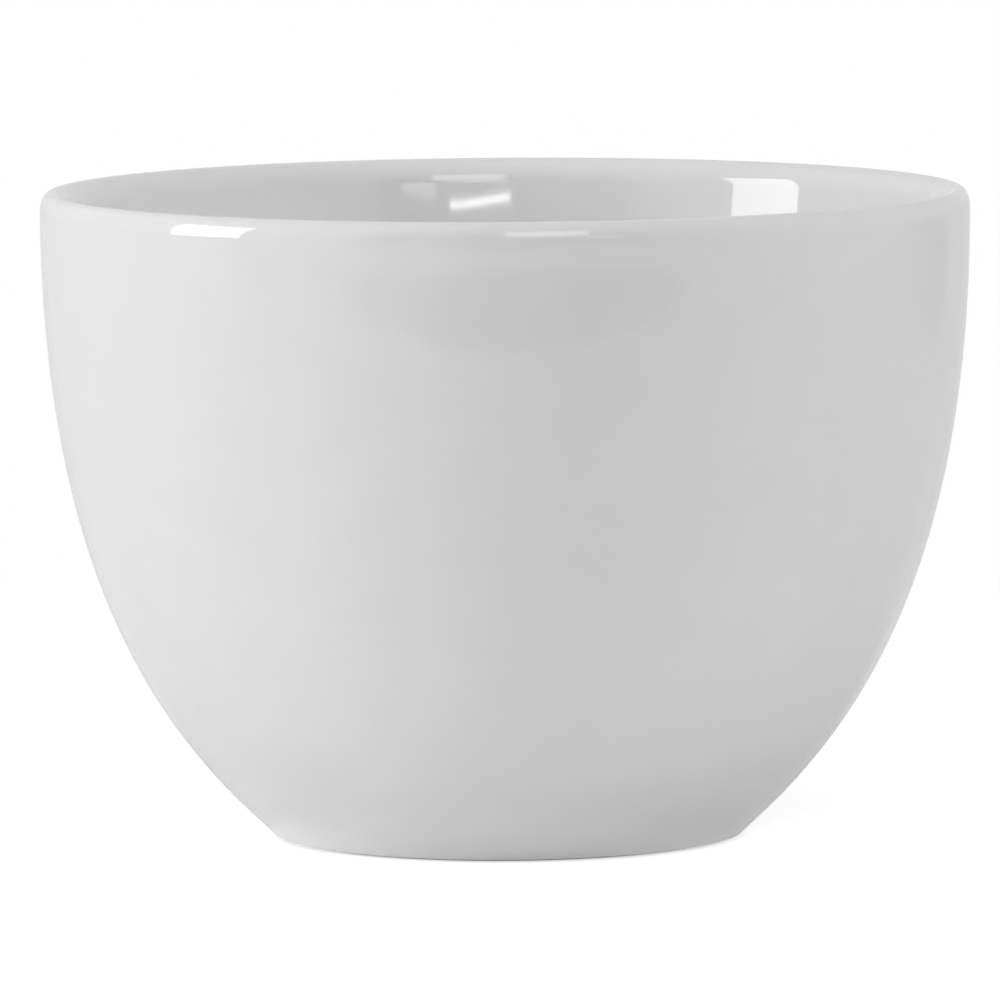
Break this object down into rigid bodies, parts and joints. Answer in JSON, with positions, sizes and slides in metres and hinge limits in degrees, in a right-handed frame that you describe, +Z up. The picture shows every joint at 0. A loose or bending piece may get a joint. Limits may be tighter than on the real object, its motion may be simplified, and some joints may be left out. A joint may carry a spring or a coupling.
{
  "type": "bouillon cup",
  "caption": "Plain white handleless cup for clear soup: glossy glazed porcelain bowl with an upright rounded rim, sides curving in to a small bare foot ring.",
  "frame": {"origin": "on the table, at the middle of the foot ring", "axes": "+Z up along the axis of the turned form; X and Y lie in the table and are alike"},
  "size_m": [0.0952, 0.0952, 0.0665],
  "materials": {
    "bare_porcelain": "fine matt unglazed porcelain, smooth from polishing, at the foot ring",
    "white_glaze": "glossy clear glaze over white porcelain"
  },
  "bodies": {
    "root": {"porcelain_body": "bare_porcelain", "glaze_coat": "white_glaze", "base_glaze": "white_glaze"}
  },
  "joints": []
}
